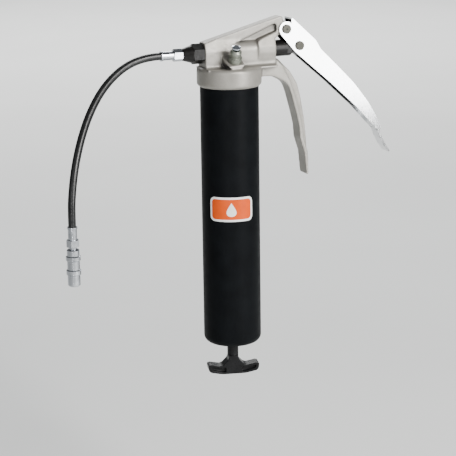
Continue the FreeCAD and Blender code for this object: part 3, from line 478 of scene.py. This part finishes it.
def rounded_box(half_wide, half_tall, corner, steps=10):
    points = []
    for turn, (sign_u, sign_v) in enumerate(((1, 1), (-1, 1), (-1, -1), (1, -1))):
        for step in range(steps + 1):
            angle = math.pi / 2 * (turn + step / steps)
            points.append((sign_u * (half_wide - corner) + corner * math.cos(angle),
                           sign_v * (half_tall - corner) + corner * math.sin(angle)))
    return closely_spaced(points)


def droplet(reach, steps=64):
    """A plain drop of oil with its point up."""
    angles = [2 * math.pi * step / steps for step in range(steps)]
    return [(reach * math.sin(angle) * math.sin(angle / 2) ** 1.6, reach * math.cos(angle))
            for angle in angles]


def label():
    """A white-edged orange sticker with a white drop, where the CAD label lies."""
    low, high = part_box("barrel_label")
    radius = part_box("barrel_tube")[1].x
    middle = (low.z + high.z) / 2
    facing = math.atan2((low.x + high.x) / 2, -(low.y + high.y) / 2)

    def layer(name, outline, lift, finish):
        return curved_patch(name, outline, radius + lift * MM, middle, facing, finish)

    edge = rounded_box(STICKER_HALF_WIDE, STICKER_HALF_TALL, STICKER_CORNER)
    inside = rounded_box(STICKER_HALF_WIDE - STICKER_BORDER, STICKER_HALF_TALL - STICKER_BORDER,
                         FIELD_CORNER)
    film = layer("sticker", edge, FILM_LIFT, FINISHES["label_film"])
    field = layer("sticker_field", inside, FILM_LIFT + INK_LIFT, LABEL_ORANGE)
    drop = layer("sticker_drop", droplet(DROP_REACH), FILM_LIFT + 2 * INK_LIFT,
                 FINISHES["label_film"])
    for extra in (field, drop):
        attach(extra, "root")
    stand_in(film, "root", "label_film", "barrel_label")


label()


# ---------------------------------------------------------------- the other pieces' finishes

for piece in frame["record"]["subparts"]:
    piece_mesh = frame["nodes"][piece["node"]].data
    piece_mesh.materials.clear()
    piece_mesh.materials.append(FINISHES[piece["material_slot"]])
frame["nodes"]["pivot_pin"].data.materials[0] = centred_pin()


# ---------------------------------------------------------------- studio

FLOOR_HALF = 7
# Far enough down to stay 5 mm under the handle when the rod is pulled out by its 0.2 m.
FLOOR_DROP = 0.205


def floor():
    mesh = bpy.data.meshes.new("floor")
    corners = [(-FLOOR_HALF, -FLOOR_HALF, 0), (FLOOR_HALF, -FLOOR_HALF, 0),
               (FLOOR_HALF, FLOOR_HALF, 0), (-FLOOR_HALF, FLOOR_HALF, 0)]
    mesh.from_pydata(corners, [], [(0, 1, 2, 3)])
    f = Finish("floor_paint", Specular_IOR_Level=0.2, Roughness=0.75)
    f.paint(f.mottle(400, 2, (0.80, 0.81, 0.80), (0.83, 0.84, 0.83)))
    made = add_object("floor", mesh, f.material)
    made.location.z = cad_low.z - FLOOR_DROP


def backdrop():
    world = bpy.data.worlds.new("studio")
    world.use_nodes = True
    shade = world.node_tree.nodes["Background"]
    shade.inputs["Color"].default_value = (0.93, 0.95, 0.97, 1)
    shade.inputs["Strength"].default_value = 0.16
    bpy.context.scene.world = world


def softbox(name, spot, aim, wide, tall, watts, tint=(1, 1, 1)):
    """A rectangular lamp, turned to a point and hidden from the camera."""
    lamp = bpy.data.lights.new(name, "AREA")
    lamp.shape = "RECTANGLE"
    lamp.size = wide
    lamp.size_y = tall
    lamp.energy = watts
    lamp.color = tint
    made = bpy.data.objects.new(name, lamp)
    made.location = spot
    made.rotation_euler = (Vector(aim) - Vector(spot)).to_track_quat("-Z", "Y").to_euler()
    made.visible_camera = False
    bpy.context.scene.collection.objects.link(made)


floor()
backdrop()
softbox("key", spot=(0.45, -1.65, 1.0), aim=(0, 0, 0.08), wide=0.6, tall=0.7, watts=50,
        tint=(1, 0.985, 0.96))
softbox("left_fill", spot=(-1.5, -0.9, 0.7), aim=(0, 0, 0), wide=0.4, tall=1.0, watts=2.5,
        tint=(0.95, 0.98, 1))
softbox("lever_panel", spot=(0.56, -1.1, 0.16), aim=(0.1, 0, 0.12), wide=0.6, tall=0.55, watts=12)
softbox("floor_wash", spot=(1.3, 3.8, 2.4), aim=(1.3, 3.81, 0), wide=3.2, tall=3.0, watts=230)
softbox("coupler_strip", spot=(-0.62, -1.0, 0.1), aim=(-0.177, -0.05, -0.02), wide=0.1, tall=0.7,
        watts=3)
softbox("back_rim", spot=(0.9, 1.2, 1.0), aim=(0, 0, 0.05), wide=0.9, tall=0.7, watts=8,
        tint=(0.93, 0.97, 1))
